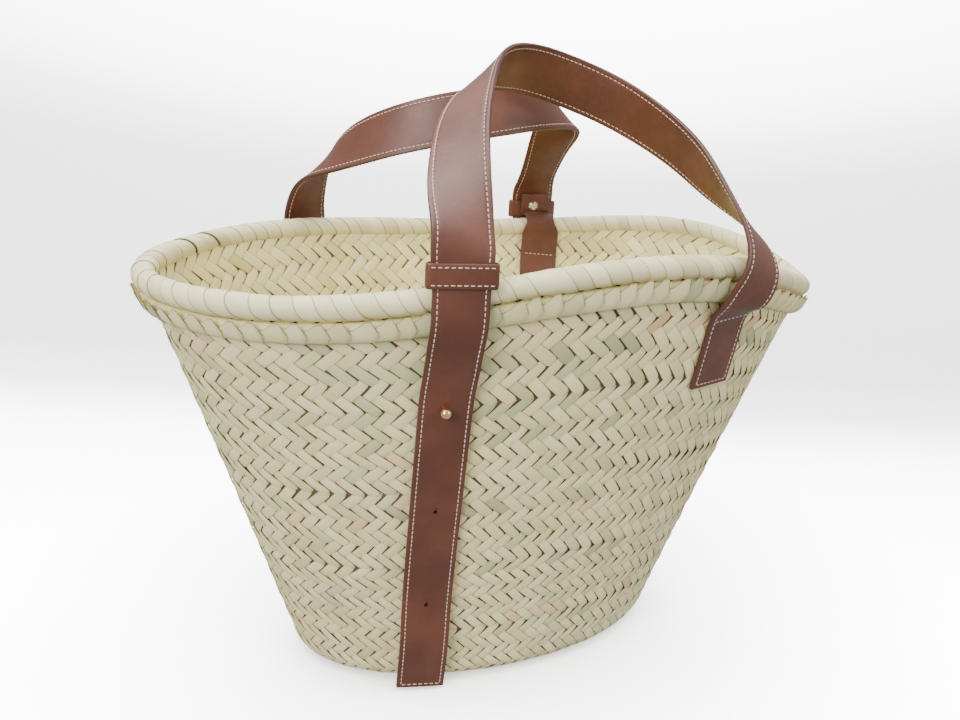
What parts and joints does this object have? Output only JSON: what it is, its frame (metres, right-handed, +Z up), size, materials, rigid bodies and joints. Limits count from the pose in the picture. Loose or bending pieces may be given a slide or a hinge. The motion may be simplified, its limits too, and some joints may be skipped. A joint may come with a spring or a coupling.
{
  "type": "woven market basket",
  "caption": "Oval woven palm-leaf market basket with a rolled rim and adjustable leather strap handles that swing, each with a keeper, a stud and a hanging tail.",
  "frame": {"origin": "middle of the base's underside, on the floor", "axes": "+X along the mouth's long side, to the right seen from the front; -Y is the front, where the nearer strap's stud is on the left; +Z is up"},
  "size_m": [0.553, 0.3171, 0.4744],
  "materials": {
    "palm_leaf": "dry plaited leaf, matte with a faint sheen along the fibres",
    "palm_leaf_dark": "dry plaited leaf, matte",
    "leather": "smooth reddish brown leather, satin, with pale stitching near both edges",
    "lining_leather": "darker brown leather, matte",
    "brass": "polished",
    "nickel": "polished"
  },
  "bodies": {
    "basket": {"base_mat": "palm_leaf_dark", "wall_course_1": "palm_leaf", "wall_course_2": "palm_leaf", "wall_course_3": "palm_leaf", "wall_course_4": "palm_leaf", "wall_course_5": "palm_leaf", "plait_lacing": "palm_leaf_dark", "rim_core": "palm_leaf_dark", "rim_wrap": "palm_leaf", "rim_band": "palm_leaf", "front_keeper": "leather", "front_inner_tab": "leather", "front_rivet": "nickel", "front_stud": "brass", "front_stud_screw": "brass", "front_run_outer": "leather", "front_run_lining": "lining_leather", "front_patch_outer": "leather", "front_patch_lining": "lining_leather", "rear_keeper": "leather", "rear_inner_tab": "leather", "rear_rivet": "nickel", "rear_stud": "brass", "rear_stud_screw": "brass", "rear_run_outer": "leather", "rear_run_lining": "lining_leather", "rear_patch_outer": "leather", "rear_patch_lining": "lining_leather"},
    "front_handle": {"front_arch_outer": "leather", "front_arch_lining": "lining_leather"},
    "rear_handle": {"rear_arch_outer": "leather", "rear_arch_lining": "lining_leather"},
    "front_tail": {"front_tail_outer": "leather", "front_tail_lining": "lining_leather"},
    "rear_tail": {"rear_tail_outer": "leather", "rear_tail_lining": "lining_leather"}
  },
  "joints": [
    {"name": "front_handle_swing", "type": "hinge", "parent": "basket", "child": "front_handle", "pos_m": [-0.087, -0.14137, 0.35323], "axis": [0.9701, 0.0185, -0.2422], "range_deg": [0, 125]},
    {"name": "front_tail_lift", "type": "hinge", "parent": "basket", "child": "front_tail", "pos_m": [-0.08554, -0.11836, 0.23023], "axis": [-0.9751, 0.2219, 0], "range_deg": [0, 60]},
    {"name": "rear_handle_swing", "type": "hinge", "parent": "basket", "child": "rear_handle", "pos_m": [0.107, 0.15636, 0.35135], "axis": [-0.962, -0.0499, -0.2683], "range_deg": [0, 125]},
    {"name": "rear_tail_lift", "type": "hinge", "parent": "basket", "child": "rear_tail", "pos_m": [0.10037, 0.12948, 0.22835], "axis": [0.9803, -0.1973, 0], "range_deg": [0, 60]}
  ]
}
